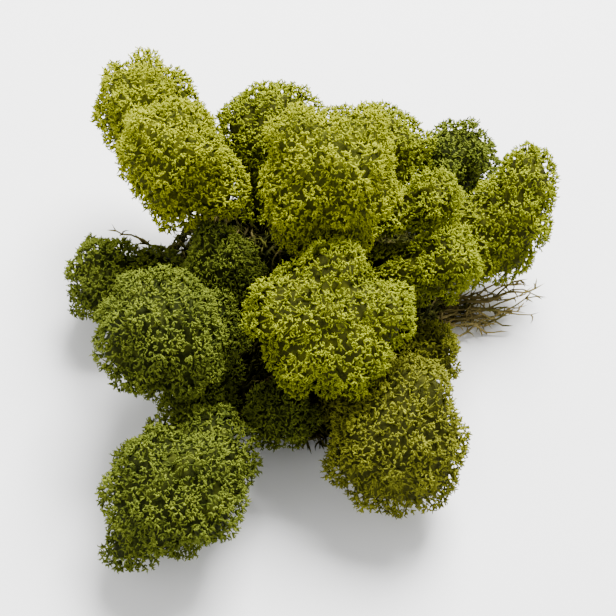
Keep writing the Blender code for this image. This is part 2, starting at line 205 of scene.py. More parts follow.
@dataclass
class StarField:
    """A surface that every ray from its middle crosses once, held as distances on a grid of directions.

    The grid has a row for each step from straight up to straight down, and a column for each step round.
    """

    middle: np.ndarray
    reach: np.ndarray

    ROWS = 60
    COLUMNS = 120
    SAMPLES = 1500
    MEDIAN_SPREAD = math.radians(8.0)
    BLUR = math.radians(4.2)
    NORMAL_STEP = 0.03
    STEEP = 0.8

    @classmethod
    def grid(cls) -> np.ndarray:
        """Lays out the directions of the grid.

        Returns:
            The directions, by row and column.
        """
        polar = np.linspace(0.0, math.pi, cls.ROWS + 1)[:, None]
        around = np.arange(cls.COLUMNS)[None] * TURN / cls.COLUMNS
        level = np.sin(polar)
        heights = np.broadcast_to(np.cos(polar), (cls.ROWS + 1, cls.COLUMNS))
        return np.stack([level * np.cos(around), level * np.sin(around), heights], axis=-1)

    @classmethod
    def of_node(cls, tree: BVHTree, middle: np.ndarray, mirrored: bool = False) -> "StarField":
        """Reads the surface of a solid round its middle, without the spikes that stand out of it.

        Args:
            tree: The solid's faces.
            middle: A point inside the solid.
            mirrored: Whether what lies below the middle is read as a mirror image of what lies above.

        Returns:
            The solid's smooth surface.
        """
        directions = even_directions(cls.SAMPLES)
        rays = directions.copy()
        if mirrored:
            rays[:, 2] = np.abs(rays[:, 2])
        origin = Vector(middle)
        raw = np.array([tree.ray_cast(origin, Vector(ray))[3] or 0.0 for ray in rays])
        likeness = directions @ directions.T
        near = likeness > math.cos(cls.MEDIAN_SPREAD)
        plain = np.nanmedian(np.where(near, raw[None], np.nan), axis=1)
        grid = cls.grid().reshape(-1, 3)
        weights = np.exp((grid @ directions.T - 1.0) / cls.BLUR**2)
        reach = (weights @ plain) / weights.sum(axis=1)
        return cls(middle, reach.reshape(cls.ROWS + 1, cls.COLUMNS))

    def at(self, directions: np.ndarray) -> np.ndarray:
        """Looks the surface up along unit directions.

        Args:
            directions: The directions, in rows of three.

        Returns:
            The distance from the middle along each direction.
        """
        row = np.arccos(np.clip(directions[..., 2], -1.0, 1.0)) / math.pi * self.ROWS
        column = np.arctan2(directions[..., 1], directions[..., 0]) / TURN % 1.0 * self.COLUMNS
        top = np.minimum(row.astype(int), self.ROWS - 1)
        left = column.astype(int) % self.COLUMNS
        right = (left + 1) % self.COLUMNS
        down, across = row - top, column - np.floor(column)
        upper = self.reach[top, left] * (1.0 - across) + self.reach[top, right] * across
        lower = self.reach[top + 1, left] * (1.0 - across) + self.reach[top + 1, right] * across
        return upper * (1.0 - down) + lower * down

    def share(self, points: np.ndarray) -> np.ndarray:
        """Works out how far out points lie.

        Args:
            points: The points, in rows of three.

        Returns:
            Each point's distance, as a share of the surface's distance in its direction.
        """
        away = points - self.middle
        distance = np.linalg.norm(away, axis=-1)
        return distance / self.at(away / np.maximum(distance, 1e-9)[..., None])

    def points(self, directions: np.ndarray, depth: float | np.ndarray = 0.0) -> np.ndarray:
        """Returns the points this deep below the surface, along unit directions."""
        return self.middle + directions * (self.at(directions) - depth)[..., None]

    def normals(self, directions: np.ndarray) -> np.ndarray:
        """Works out the surface's outward normals.

        Args:
            directions: Unit directions, in rows of three.

        Returns:
            The normal along each direction.
        """
        hint = np.where(np.abs(directions[..., 2:]) < self.STEEP, [[0.0, 0.0, 1.0]], [[1.0, 0.0, 0.0]])
        side = tangents_to(directions, np.broadcast_to(hint, directions.shape))
        other = np.cross(directions, side)
        here = self.points(directions)
        first = self.points(unit(directions + self.NORMAL_STEP * side)) - here
        second = self.points(unit(directions + self.NORMAL_STEP * other)) - here
        return unit(np.cross(first, second))


@dataclass(frozen=True)
class Solid:
    """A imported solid: its node, its points and its faces."""

    node: str
    points: np.ndarray
    tree: BVHTree

    LOOK = (0.31, 0.27, 0.91)
    GRID_SHARES = (0.1, 0.9, 9)
    SEARCH_STEP = 0.06
    SEARCH_SHRINK = 0.8
    SEARCH_ROUNDS = 16
    SEARCH_WAYS = 14

    @classmethod
    def of(cls, node: str) -> "Solid":
        """Reads a node's mesh.

        Args:
            node: The node's name.

        Returns:
            The node's solid.
        """
        mesh = FRAME["nodes"][node].data
        points = np.empty(len(mesh.vertices) * 3)
        mesh.vertices.foreach_get("co", points)
        points = points.reshape(-1, 3)
        faces = [tuple(face.vertices) for face in mesh.polygons]
        return cls(node, points, BVHTree.FromPolygons(points.tolist(), faces))

    def depth(self, point: np.ndarray) -> float:
        """Works out how deep a point lies inside the solid.

        Args:
            point: The point.

        Returns:
            The depth, below 0 where the point is outside.
        """
        distance = self.tree.find_nearest(Vector(point))[3]
        way = Vector(self.LOOK).normalized()
        normal = self.tree.ray_cast(Vector(point), way)[1]
        inside = normal is not None and normal.dot(way) > 0.0
        return distance if inside else -distance

    def widest_point(self) -> np.ndarray:
        """Finds the middle of about the largest ball that fits inside the solid.

        Returns:
            The point.
        """
        low, high = self.points.min(axis=0), self.points.max(axis=0)
        shares = np.linspace(*self.GRID_SHARES)
        grid = np.stack(np.meshgrid(shares, shares, shares), axis=-1).reshape(-1, 3)
        best = max(low + grid * (high - low), key=self.depth)
        steps = self.SEARCH_STEP * self.SEARCH_SHRINK ** np.arange(self.SEARCH_ROUNDS)
        for step in float((high - low).max()) * steps:
            best = max([best, *(best + step * even_directions(self.SEARCH_WAYS))], key=self.depth)
        return best


def curves(starts: np.ndarray, leans: np.ndarray, ends: np.ndarray, steps: int) -> np.ndarray:
    """Draws smooth curves from one set of points to another.

    Args:
        starts: Where the curves start.
        leans: The points that pull the curves to one side.
        ends: Where they end.
        steps: How many points each curve has.

    Returns:
        The curves' points, by curve and step.
    """
    share = np.linspace(0.0, 1.0, steps)[None, :, None]
    start, lean, end = starts[:, None], leans[:, None], ends[:, None]
    return start * (1.0 - share) ** 2 + lean * 2.0 * share * (1.0 - share) + end * share**2


@dataclass(frozen=True)
class Shoot:
    """The form of one kind of curved strand, from its root to its tip.

    It leans inwards by a share of its length, bends at random, and rises past its mark along the normal.
    """

    widths: tuple[float, ...]
    along: tuple[float, ...]
    lean: float = 0.0
    bend: float = 0.0
    rise: float = 0.0
    tones: Span = (0.0, 1.0)


@dataclass
class Growth:
    """Gathers closed shapes into one mesh: tapering strands, which end in a point, and cores."""

    name: str
    draw: np.random.Generator
    points: list[np.ndarray] = field(default_factory=list)
    along: list[np.ndarray] = field(default_factory=list)
    tone: list[np.ndarray] = field(default_factory=list)
    triangles: list[np.ndarray] = field(default_factory=list)
    quads: list[np.ndarray] = field(default_factory=list)
    count: int = 0

    MAP_NAME = "OFBake"
    MAP_JITTER = 0.012

    def add_strands(self, paths: np.ndarray, widths: Profile, along: Profile, tone: np.ndarray) -> None:
        """Adds three-sided strands that all have the same number of points, each turned at random.

        Args:
            paths: The strands' lines, by strand and point.
            widths: The radii at every point but the last, for all strands or by strand.
            along: The share of the way from core to tip at every point, for all strands or by strand.
            tone: One tone for each strand.
        """
        strands, steps = paths.shape[:2]
        rings = steps - 1
        if not strands:
            return
        widths = np.broadcast_to(widths, (strands, rings))
        along = np.broadcast_to(along, (strands, steps))
        ahead = np.empty_like(paths)
        ahead[:, 1:-1] = paths[:, 2:] - paths[:, :-2]
        ahead[:, 0] = paths[:, 1] - paths[:, 0]
        ahead[:, -1] = paths[:, -1] - paths[:, -2]
        ahead = unit(ahead)
        side = tangents_to(ahead[:, 0], random_directions(strands, self.draw))
        corners = np.empty((strands, rings, 3, 3))
        for ring in range(rings):
            side = tangents_to(ahead[:, ring], side)
            up = np.cross(ahead[:, ring], side)
            for corner in range(3):
                angle = TURN * corner / 3
                way = math.cos(angle) * side + math.sin(angle) * up
                corners[:, ring, corner] = paths[:, ring] + widths[:, ring, None] * way
        block = np.concatenate([corners.reshape(strands, rings * 3, 3), paths[:, -1:]], axis=1)
        size = rings * 3 + 1
        first = self.count + np.arange(strands)[:, None, None] * size
        ring_starts = np.arange(rings - 1)[:, None] * 3
        turn = np.array([0, 1, 2])
        after = np.array([1, 2, 0])
        above = ring_starts + 3
        quads = np.stack([ring_starts + turn, ring_starts + after, above + after, above + turn], axis=-1)
        self.quads.append((first[..., None] + quads[None]).reshape(-1, 4))
        last = (rings - 1) * 3
        caps = np.stack([last + turn, last + after, np.full(3, rings * 3)], axis=-1)
        caps = np.concatenate([[[0, 2, 1]], caps])
        self.triangles.append((first + caps[None]).reshape(-1, 3))
        self.points.append(block.reshape(-1, 3))
        shares = np.concatenate([np.repeat(along[:, :rings], 3, axis=1), along[:, -1:]], axis=1)
        self.along.append(shares.ravel())
        self.tone.append(np.repeat(tone, size))
        self.count += strands * size

    def add_shoots(
        self,
        kind: Shoot,
        starts: np.ndarray,
        ends: np.ndarray,
        normals: np.ndarray,
        tone: np.ndarray | None = None,
    ) -> None:
        """Adds curved strands of one kind.

        Args:
            kind: Their form.
            starts: Where they start.
            ends: Where they end, before they rise along the normals.
            normals: The way out of the surface at each end.
            tone: One tone for each strand, or nothing where the kind's own tones are drawn.
        """
        reach = np.linalg.norm(ends - starts, axis=1, keepdims=True)
        bend = self.draw.normal(0.0, kind.bend, ends.shape)
        leans = (starts + ends) / 2.0 - normals * reach * kind.lean + bend
        paths = curves(starts, leans, ends + normals * kind.rise, len(kind.along))
        if tone is None:
            tone = self.draw.uniform(*kind.tones, len(ends))
        self.add_strands(paths, kind.widths, kind.along, tone)

    def add_core(self, points: np.ndarray, faces: np.ndarray, along: float, tone: float) -> None:
        """Adds a closed core of triangles with one tone.

        Args:
            points: Its corners.
            faces: The corners of each triangle.
            along: The share of the way from core to tip that it is shaded as.
            tone: Its tone.
        """
        self.triangles.append(faces + self.count)
        self.points.append(points)
        self.along.append(np.full(len(points), along))
        self.tone.append(np.full(len(points), tone))
        self.count += len(points)

    def face_total(self) -> int:
        """Returns how many triangles the piece comes to."""
        return sum(map(len, self.triangles)) + 2 * sum(map(len, self.quads))

    def piece(self, material: bpy.types.Material, lowest: float) -> bpy.types.Object:
        """Makes the mesh object.

        Args:
            material: What it is finished with.
            lowest: The height that no point goes below.

        Returns:
            The object, linked to the scene.
        """
        points = np.concatenate(self.points)
        points[:, 2] = np.maximum(points[:, 2], lowest)
        quads, triangles = np.concatenate(self.quads), np.concatenate(self.triangles)
        loops = np.concatenate([quads.ravel(), triangles.ravel()]).astype(np.int32)
        starts = np.arange(len(quads)) * 4
        starts = np.concatenate([starts, len(quads) * 4 + np.arange(len(triangles)) * 3])
        mesh = bpy.data.meshes.new(self.name)
        mesh.vertices.add(len(points))
        mesh.vertices.foreach_set("co", points.astype(np.float32).ravel())
        mesh.loops.add(len(loops))
        mesh.loops.foreach_set("vertex_index", loops)
        mesh.polygons.add(len(starts))
        mesh.polygons.foreach_set("loop_start", starts.astype(np.int32))
        values = {Attribute.ALONG: np.concatenate(self.along), Attribute.TONE: np.concatenate(self.tone)}
        for attribute, numbers in values.items():
            layer = mesh.attributes.new(attribute.value, "FLOAT", "POINT")
            layer.data.foreach_set("value", np.clip(numbers, 0.0, 1.0).astype(np.float32))
        places = np.stack([values[Attribute.ALONG], values[Attribute.TONE]], axis=1)
        draw = np.random.default_rng(SEED)
        places = np.clip(places + draw.uniform(-self.MAP_JITTER, self.MAP_JITTER, places.shape), 0.0, 1.0)
        mesh.update(calc_edges=True)
        chart = mesh.uv_layers.new(name=self.MAP_NAME, do_init=False)
        chart.uv.foreach_set("vector", places[loops].astype(np.float32).ravel())
        mesh.shade_smooth()
        mesh.validate()
        mesh.materials.append(material)
        return placed(self.name, mesh)


@dataclass(frozen=True)
class NodeKit:
    """Short ways to add and join shader nodes in one tree."""

    tree: bpy.types.NodeTree

    def add(self, kind: str) -> bpy.types.Node:
        """Returns a new node of this kind."""
        return self.tree.nodes.new(kind)

    def join(self, source: Value, target: Socket) -> None:
        """Links the source to the target, or sets the target where the source is a number.

        Args:
            source: A socket or a number.
            target: The socket that takes it.
        """
        if isinstance(source, (int, float)):
            target.default_value = source
        else:
            self.tree.links.new(source, target)

    def math(self, operation: str, first: Value, second: Value, third: Value = 0.0) -> Socket:
        """Adds a calculation on two or three values.

        Args:
            operation: The calculation's name.
            first: The first value.
            second: The second value.
            third: The third value, where the calculation has one.

        Returns:
            The result.
        """
        node = self.add("ShaderNodeMath")
        node.operation = operation
        for value, socket in zip((first, second, third), node.inputs):
            self.join(value, socket)
        return node.outputs[0]

    def centred(self, value: Socket) -> Socket:
        """Returns the value less one half."""
        return self.math("SUBTRACT", value, 0.5)

    def ramp(self, value: Socket, low: float, high: float) -> Socket:
        """Adds a smooth step between two limits.

        Args:
            value: What the step is read at.
            low: Where it starts.
            high: Where it ends.

        Returns:
            0 below the low limit and 1 above the high one.
        """
        node = self.add("ShaderNodeMapRange")
        node.interpolation_type = "SMOOTHSTEP"
        self.join(value, node.inputs["Value"])
        node.inputs["From Min"].default_value = low
        node.inputs["From Max"].default_value = high
        return node.outputs["Result"]

    def mix(self, share: Socket, first: Socket, second: Socket) -> Socket:
        """Adds a blend of two colours.

        Args:
            share: The share of the second colour.
            first: The first colour.
            second: The second colour.

        Returns:
            The blend.
        """
        node = self.add("ShaderNodeMix")
        node.data_type = "RGBA"
        self.join(share, node.inputs["Factor"])
        colours = [socket for socket in node.inputs if socket.type == "RGBA"]
        self.join(first, colours[0])
        self.join(second, colours[1])
        return next(socket for socket in node.outputs if socket.type == "RGBA")

    def noise(self, place: Socket, scale: float, detail: float) -> Socket:
        """Adds a noise over the surface.

        Args:
            place: Where it is read.
            scale: How many waves fit in a metre.
            detail: How many finer layers it has.

        Returns:
            The noise, from 0 to 1.
        """
        node = self.add("ShaderNodeTexNoise")
        self.join(place, node.inputs["Vector"])
        node.inputs["Scale"].default_value = scale
        node.inputs["Detail"].default_value = detail
        return node.outputs["Fac"]


@dataclass(frozen=True)
class StrandTint:
    """The shader group that colours a strand from its dark root to its light tip, partly painted shade and
    light, with grain and mottling.
    """

    name: str = "strand_tint"
    mottle_scale: float = 260.0
    mottle_detail: float = 3.0
    fine_detail: float = 2.0
    grain_scale: float = 2600.0
    depth_scale: float = 1300.0
    depth_swing: float = 1.1
    body_span: Span = (0.05, 0.62)
    tip_span: Span = (0.55, 1.0)
    aged_span: Span = (0.55, 0.95)
    aged_shares: Span = (0.9, 0.5)
    rough_swing: float = 0.2
    colours: tuple[str, ...] = ("Root", "Body", "Tip", "Aged")

    def tree(self) -> bpy.types.NodeTree:
        """Builds the group, or finds the one that was built.

        Returns:
            The node group.
        """
        if self.name in bpy.data.node_groups:
            return bpy.data.node_groups[self.name]
        tree = bpy.data.node_groups.new(self.name, "ShaderNodeTree")
        for colour in self.colours:
            tree.interface.new_socket(colour, in_out="INPUT", socket_type="NodeSocketColor")
        for value in ("Along", "Tone", "Age", "Mottle", "Rough"):
            tree.interface.new_socket(value, in_out="INPUT", socket_type="NodeSocketFloat")
        tree.interface.new_socket("Color", in_out="OUTPUT", socket_type="NodeSocketColor")
        for value in ("Roughness", "Height"):
            tree.interface.new_socket(value, in_out="OUTPUT", socket_type="NodeSocketFloat")
        nodes = NodeKit(tree)
        given = nodes.add("NodeGroupInput").outputs
        results = nodes.add("NodeGroupOutput").inputs
        place = nodes.add("ShaderNodeTexCoord").outputs["Object"]
        mottle = nodes.noise(place, self.mottle_scale, self.mottle_detail)
        grain = nodes.noise(place, self.grain_scale, self.fine_detail)
        along, tone = given["Along"], given["Tone"]
        depths = nodes.noise(place, self.depth_scale, self.fine_detail)
        # Painted shade and light along the strand: the colour darkens from the tip down to the root, partly for
        # the real darker old growth and partly as painted shade for depth, and the tip is partly painted light;
        # a fine noise breaks up where that shade starts.
        shaded = nodes.math("MULTIPLY_ADD", nodes.centred(depths), self.depth_swing, along)
        lower = nodes.ramp(shaded, *self.body_span)
        upper = nodes.ramp(along, *self.tip_span)
        stem_and_shade = nodes.mix(lower, given["Root"], given["Body"])
        living_and_lit = nodes.mix(upper, stem_and_shade, given["Tip"])
        # The tone feeds the aged patches and the brightness swing below; on the heads it carries painted light
        # on upward whorls and painted shade in the valleys, besides its random drift.
        mottle_share, tone_share = self.aged_shares
        spotted = nodes.math("MULTIPLY_ADD", mottle, mottle_share, nodes.math("MULTIPLY", tone, tone_share))
        patch = nodes.ramp(spotted, *self.aged_span)
        aged = nodes.mix(nodes.math("MULTIPLY", patch, given["Age"]), living_and_lit, given["Aged"])
        swing = nodes.math("MULTIPLY", nodes.centred(tone), given["Mottle"])
        speckle = nodes.math("MULTIPLY", nodes.centred(grain), given["Mottle"])
        value = nodes.math("ADD", nodes.math("ADD", 1.0, swing), speckle)
        shade = nodes.add("ShaderNodeHueSaturation")
        nodes.join(value, shade.inputs["Value"])
        nodes.join(aged, shade.inputs["Color"])
        nodes.join(shade.outputs["Color"], results["Color"])
        worn = nodes.math("MULTIPLY_ADD", nodes.centred(grain), self.rough_swing, given["Rough"])
        nodes.join(worn, results["Roughness"])
        nodes.join(grain, results["Height"])
        return tree


@dataclass(frozen=True)
class StrandFinish:
    """The finish of one kind of strand: its colours from root to tip, and how they vary."""

    name: str
    slot: Slot
    root: Colour
    body: Colour
    tip: Colour
    aged: Colour
    age: float = 0.35
    mottle: float = 0.5
    rough: float = 0.78
    bump: float = 0.25
    bump_depth: float = 0.05 * MM
    gloss: float = 0.02

    def material(self) -> bpy.types.Material:
        """Builds the material, or finds the one that was built.

        Returns:
            The material.
        """
        if self.name in bpy.data.materials:
            return bpy.data.materials[self.name]
        material = bpy.data.materials.new(self.name)
        material.use_nodes = True
        nodes = NodeKit(material.node_tree)
        shader = material.node_tree.nodes["Principled BSDF"]
        tint = nodes.add("ShaderNodeGroup")
        tint.node_tree = StrandTint().tree()
        for socket, colour in zip(StrandTint().colours, (self.root, self.body, self.tip, self.aged)):
            tint.inputs[socket].default_value = (*colour, 1.0)
        for socket, attribute in (("Along", Attribute.ALONG), ("Tone", Attribute.TONE)):
            reader = nodes.add("ShaderNodeAttribute")
            reader.attribute_name = attribute.value
            nodes.join(reader.outputs["Fac"], tint.inputs[socket])
        for socket, value in (("Age", self.age), ("Mottle", self.mottle), ("Rough", self.rough)):
            tint.inputs[socket].default_value = value
        nodes.join(tint.outputs["Color"], shader.inputs["Base Color"])
        nodes.join(tint.outputs["Roughness"], shader.inputs["Roughness"])
        relief = nodes.add("ShaderNodeBump")
        relief.inputs["Strength"].default_value = self.bump
        relief.inputs["Distance"].default_value = self.bump_depth
        nodes.join(tint.outputs["Height"], relief.inputs["Height"])
        nodes.join(relief.outputs["Normal"], shader.inputs["Normal"])
        shader.inputs["Specular IOR Level"].default_value = self.gloss
        return material


FINISHES = {
    finish.slot: finish
    for finish in (
        StrandFinish(
            "yellow_branchlets",
            Slot.YELLOW,
            root=(0.050, 0.056, 0.007),
            body=(0.200, 0.226, 0.014),
            tip=(0.290, 0.318, 0.014),
            aged=(0.380, 0.390, 0.016),
        ),
        StrandFinish(
            "green_branchlets",
            Slot.GREEN,
            root=(0.040, 0.043, 0.007),
            body=(0.162, 0.188, 0.014),
            tip=(0.240, 0.276, 0.015),
            aged=(0.328, 0.348, 0.018),
        ),
        # A darker copy of the green finish: partly the real deeper green of some heads, partly painted shade
        # for heads sunk between the others.
        StrandFinish(
            "deep_green_and_shaded_branchlets",
            Slot.DEEP,
            root=(0.017, 0.021, 0.004),
            body=(0.072, 0.094, 0.014),
            tip=(0.126, 0.156, 0.018),
            aged=(0.192, 0.220, 0.022),
        ),
        StrandFinish(
            "olive_branchlets",
            Slot.OLIVE,
            root=(0.036, 0.038, 0.007),
            body=(0.122, 0.127, 0.015),
            tip=(0.176, 0.185, 0.018),
            aged=(0.265, 0.272, 0.022),
        ),
        StrandFinish(
            "old_stem_bark",
            Slot.STEMS,
            # Near-black root colour: on the base's core it is painted shade.
            root=(0.004, 0.005, 0.001),
            body=(0.022, 0.025, 0.004),
            tip=(0.082, 0.084, 0.012),
            aged=(0.205, 0.160, 0.055),
            age=0.95,
        ),
    )
}


@dataclass
class MossHead:
    """A domed head: whorls of branchlets in an even net, on twigs that grow out of a near-black core of painted
    shade.

    A depth is measured down from the surface that the tips reach.
    """

    solid: Solid
    slot: Slot
    core: StarField
    seed: int
    tips: StarField = field(init=False)
    openness: StarField = field(init=False)
    valleys: StarField = field(init=False)

    LOBE_SEEDS = 2000
    BRANCH_SEEDS = 1000
    TIP_SHARE = 1.23
    LEAST_OPEN = 1.04
    WHORL_SPACING = 1.03 * MM
    TWIG_SPACING = 2.4 * MM
    WHORL_DEPTH = 0.7 * MM
    WHORL_SHAKE = (-0.3 * MM, 0.35 * MM)
    TWIG_DEPTH = 1.7 * MM
    ROOT_DEPTH = 3.4 * MM
    CORE_DEPTH = 2.5 * MM
    CLOSED_CORE_DEPTH = 1.4 * MM
    CORE_ROUGH = (0.75, 1.25)
    CORE_SPLITS = 3
    CORE_ALONG = 0.05
    CORE_TONE = 0.3
    LEAST_CORE = 0.35
    LOBE_SPACING = 7.0 * MM
    LOBE_RADIUS = 4.4 * MM
    LOBE_SINK = 1.5 * MM
    TUFT_SPACING = 3.8 * MM
    TUFT_RADIUS = 2.4 * MM
    TUFT_SINK = 0.45 * MM
    VALLEY_SHARES = (0.6, 0.4)
    SWELLING_TRIES = 1500
    SHARING_ROUNDS = 9
    NEAR_REACHES = 2.0
    CANDIDATES = 15000
    FLOOR_ROOM = 0.3 * MM
    LEAST_HEIGHT = 0.15 * MM
    UNDERSIDE = -0.35
    UNDERSIDE_SHARE = 0.55
    LIT_SHARE = 0.2
    LIT_LEVEL = 0.3
    VALLEY_SHADE = 0.3
    VALLEY_LEVEL = 0.4
    DRIFT_LENGTHS = (6.0 * MM, 11.0 * MM)
    DRIFT_WAVES = 3
    DRIFT = 0.35
    JUMP = 0.16
    TWIG_SHAKE = 0.12
    DEEPEST_TWIG = 0.6
    TWIG = Shoot(
        widths=(0.40 * MM, 0.34 * MM, 0.28 * MM),
        along=(0.15, 0.25, 0.35, 0.45),
        lean=0.25,
        bend=0.3 * MM,
        rise=0.3 * MM,
        tones=(0.2, 0.8),
    )
    STALK = Shoot(
        widths=(0.27 * MM, 0.22 * MM),
        along=(0.36, 0.5, 0.66),
        lean=0.2,
        bend=0.15 * MM,
        rise=0.1 * MM,
    )
    ARM_COUNTS = (3, 3, 4)
    ARM_LEAN = 0.4
    ARM_RISE = (-0.1 * MM, 0.38 * MM, 0.6 * MM)
    ARM_SPREAD = (0.0, 0.42 * MM, 0.78 * MM)
    ARM_TURN = 1.2
    ARM_SHAKE = 0.3
    ARM_CURLS = (0.2, 1.3)
    ARM_HEIGHTS = (0.3, 1.6)
    ARM_REACHES = (0.6, 1.3)
    ARM_TONE = 0.08
    ARM_WIDTHS = (0.18 * MM, 0.16 * MM)
    ARM_ALONG = (0.66, 0.92, 1.0)
    FORK_REACH = 0.5 * MM
    FORK_REACHES = (0.7, 1.3)
    FORK_PLACES = (0.0, 0.5)
    FORK_OUT = 0.9
    FORK_AHEAD = 0.4
    FORK_LIFTS = (-0.2, 1.0)
    FORK_WIDTHS = (0.15 * MM,)
    FORK_ALONG = (0.9, 1.0)
    BOX_ROOM = 0.6 * MM

    def share_out(self, others: list["MossHead"], base: StarField) -> None:
        """Works out the surface that the tips reach, and shares the space where heads press together.

        Args:
            others: The other heads.
            base: The surface of the stem base.
        """
        grid = StarField.grid()
        reach = self.core.at(grid)
        near = [other.core for other in others if self.meets(other)]
        low = np.full(reach.shape, 1.0)
        high = np.full(reach.shape, self.TIP_SHARE)
        for _ in range(self.SHARING_ROUNDS):
            middle = (low + high) / 2.0
            points = self.core.middle + grid * (reach * middle)[..., None]
            free = base.share(points) > self.LEAST_OPEN
            for other in near:
                free &= other.share(points) > middle
            low = np.where(free, middle, low)
            high = np.where(free, high, middle)
        self.tips = StarField(self.core.middle, np.minimum(reach * low, self.room(grid)))
        self.openness = StarField(self.core.middle, low)
        draw = np.random.default_rng(SEED * self.LOBE_SEEDS + self.seed)
        lobes = self.hollows(self.LOBE_SPACING, self.LOBE_RADIUS, draw)
        tufts = self.hollows(self.TUFT_SPACING, self.TUFT_RADIUS, draw)
        sink = (self.LOBE_SINK * lobes + self.TUFT_SINK * tufts) * self.opened(grid)
        self.tips = StarField(self.core.middle, self.tips.reach - sink)
        # The lobe and tuft hollows are kept as valleys, where painted shade darkens the tone.
        lobe_share, tuft_share = self.VALLEY_SHARES
        self.valleys = StarField(self.core.middle, lobe_share * lobes + tuft_share * tufts)

    def opened(self, ways: np.ndarray) -> np.ndarray:
        """Returns how free each direction is, from 0 at a pressed wall to 1 in the open."""
        return np.clip((self.openness.at(ways) - 1.0) / (self.TIP_SHARE - 1.0), 0.0, 1.0)

    def room(self, ways: np.ndarray) -> np.ndarray:
        """Works out how far it is from the head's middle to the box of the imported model.

        Args:
            ways: Unit directions, in rows of three.

        Returns:
            The distance along each direction.
        """
        low, high = (np.array(corner) for corner in CAD_BOX)
        low = low + (self.BOX_ROOM, self.BOX_ROOM, self.FLOOR_ROOM) - self.core.middle
        high = high - self.BOX_ROOM - self.core.middle
        ahead = np.where(np.abs(ways) > TINY, ways, TINY)
        return np.maximum(low / ahead, high / ahead).min(axis=-1)

    def hollows(self, spacing: float, radius: float, draw: np.random.Generator) -> np.ndarray:
        """Spreads swellings over the surface, and finds how deep every point of the grid lies between them.

        Args:
            spacing: The least distance between two swellings.
            radius: How far from a swelling's middle the deepest places are.
            draw: The source of the random places.

        Returns:
            0 on a swelling's middle and 1 between them, for every point of the grid.
        """
        surface = self.tips.points(random_directions(self.SWELLING_TRIES, draw))
        seeds = surface[thinned(surface, spacing)]
        points = self.tips.points(StarField.grid()).reshape(-1, 3)
        apart = np.linalg.norm(points - seeds[nearest(points, seeds)], axis=1)
        return (np.minimum(apart / radius, 1.0) ** 2).reshape(self.tips.reach.shape)

    def meets(self, other: "MossHead") -> bool:
        """Tells whether another head is near enough to share space with this one.

        Args:
            other: The other head.

        Returns:
            Whether they may press together.
        """
        gap = np.linalg.norm(self.core.middle - other.core.middle)
        reach = np.median(self.core.reach) + np.median(other.core.reach)
        return other is not self and gap < self.NEAR_REACHES * reach

    def build(self) -> bpy.types.Object:
        """Grows the head.

        Returns:
            The head's piece.
        """
        draw = np.random.default_rng(SEED * self.BRANCH_SEEDS + self.seed)
        growth = Growth(self.solid.node + "_branchlets", draw)
        ways = random_directions(self.CANDIDATES, draw)
        ways = ways[self.openness.at(ways) > self.LEAST_OPEN]
        surface = self.tips.points(ways)
        ways = ways[surface[:, 2] > self.FLOOR_ROOM]
        surface = self.tips.points(ways)
        picked = thinned(surface, self.WHORL_SPACING)
        ways, surface = ways[picked], surface[picked]
        normals = self.tips.normals(ways)
        kept = (normals[:, 2] > self.UNDERSIDE) | (draw.uniform(size=len(ways)) < self.UNDERSIDE_SHARE)
        ways, surface, normals = ways[kept], surface[kept], normals[kept]
        self.add_painted_shade_core(growth)
        twigs = thinned(surface, self.TWIG_SPACING)
        twig_heads = self.twig_points(surface[twigs], ways[twigs], self.TWIG_DEPTH, draw)
        twig_roots = self.twig_points(surface[twigs], ways[twigs], self.ROOT_DEPTH, draw)
        growth.add_shoots(self.TWIG, twig_roots, twig_heads, normals[twigs])
        depth = self.WHORL_DEPTH + draw.uniform(*self.WHORL_SHAKE, len(ways))
        whorls = surface - normals * depth[:, None]
        # Painted light: whorls that face up get a higher tone, so the tops of the heads are painted lighter.
        lit = self.LIT_SHARE * (normals[:, 2] - self.LIT_LEVEL)
        # Painted shade: whorls in the valleys between lobes and tufts get a lower tone, so they are painted
        # darker.
        shaded = self.VALLEY_SHADE * (self.valleys.at(ways) - self.VALLEY_LEVEL)
        tone = np.clip(self.tones(surface, draw) + (lit - shaded), 0.0, 1.0)
        parents = nearest(surface, surface[twigs])
        self.add_whorls(growth, twig_heads[parents], whorls, normals, tone)
        piece = growth.piece(FINISHES[self.slot].material(), self.LEAST_HEIGHT)
        LOG.info("%s: %d whorls, %d triangles", growth.name, len(ways), growth.face_total())
        return piece

    def tones(self, points: np.ndarray, draw: np.random.Generator) -> np.ndarray:
        """Draws tones that drift over the head and jump a little.

        Args:
            points: Where the tones are read.
            draw: The source of the random waves.

        Returns:
            A tone from 0 to 1 for each point.
        """
        waves = np.zeros(len(points))
        total = self.DRIFT_WAVES * len(self.DRIFT_LENGTHS)
        for length in self.DRIFT_LENGTHS:
            way = random_directions(self.DRIFT_WAVES, draw)
            phase = draw.uniform(0.0, TURN, self.DRIFT_WAVES)
            waves += np.sin(points @ way.T * TURN / length + phase).sum(axis=1) / total
        return np.clip(0.5 + self.DRIFT * waves + draw.normal(0.0, self.JUMP, len(points)), 0.0, 1.0)

    def twig_points(
        self, surface: np.ndarray, ways: np.ndarray, depth: float, draw: np.random.Generator
    ) -> np.ndarray:
        """Finds points under the surface, each shaken a little.

        Args:
            surface: Points on the surface.
            ways: Their directions.
            depth: How deep to go.
            draw: The source of the random shakes.

        Returns:
            The points this deep under them.
        """
        deep = np.minimum(depth, self.DEEPEST_TWIG * self.tips.at(ways))
        shake = draw.normal(0.0, self.TWIG_SHAKE, surface.shape) * depth
        return surface - ways * deep[:, None] + shake

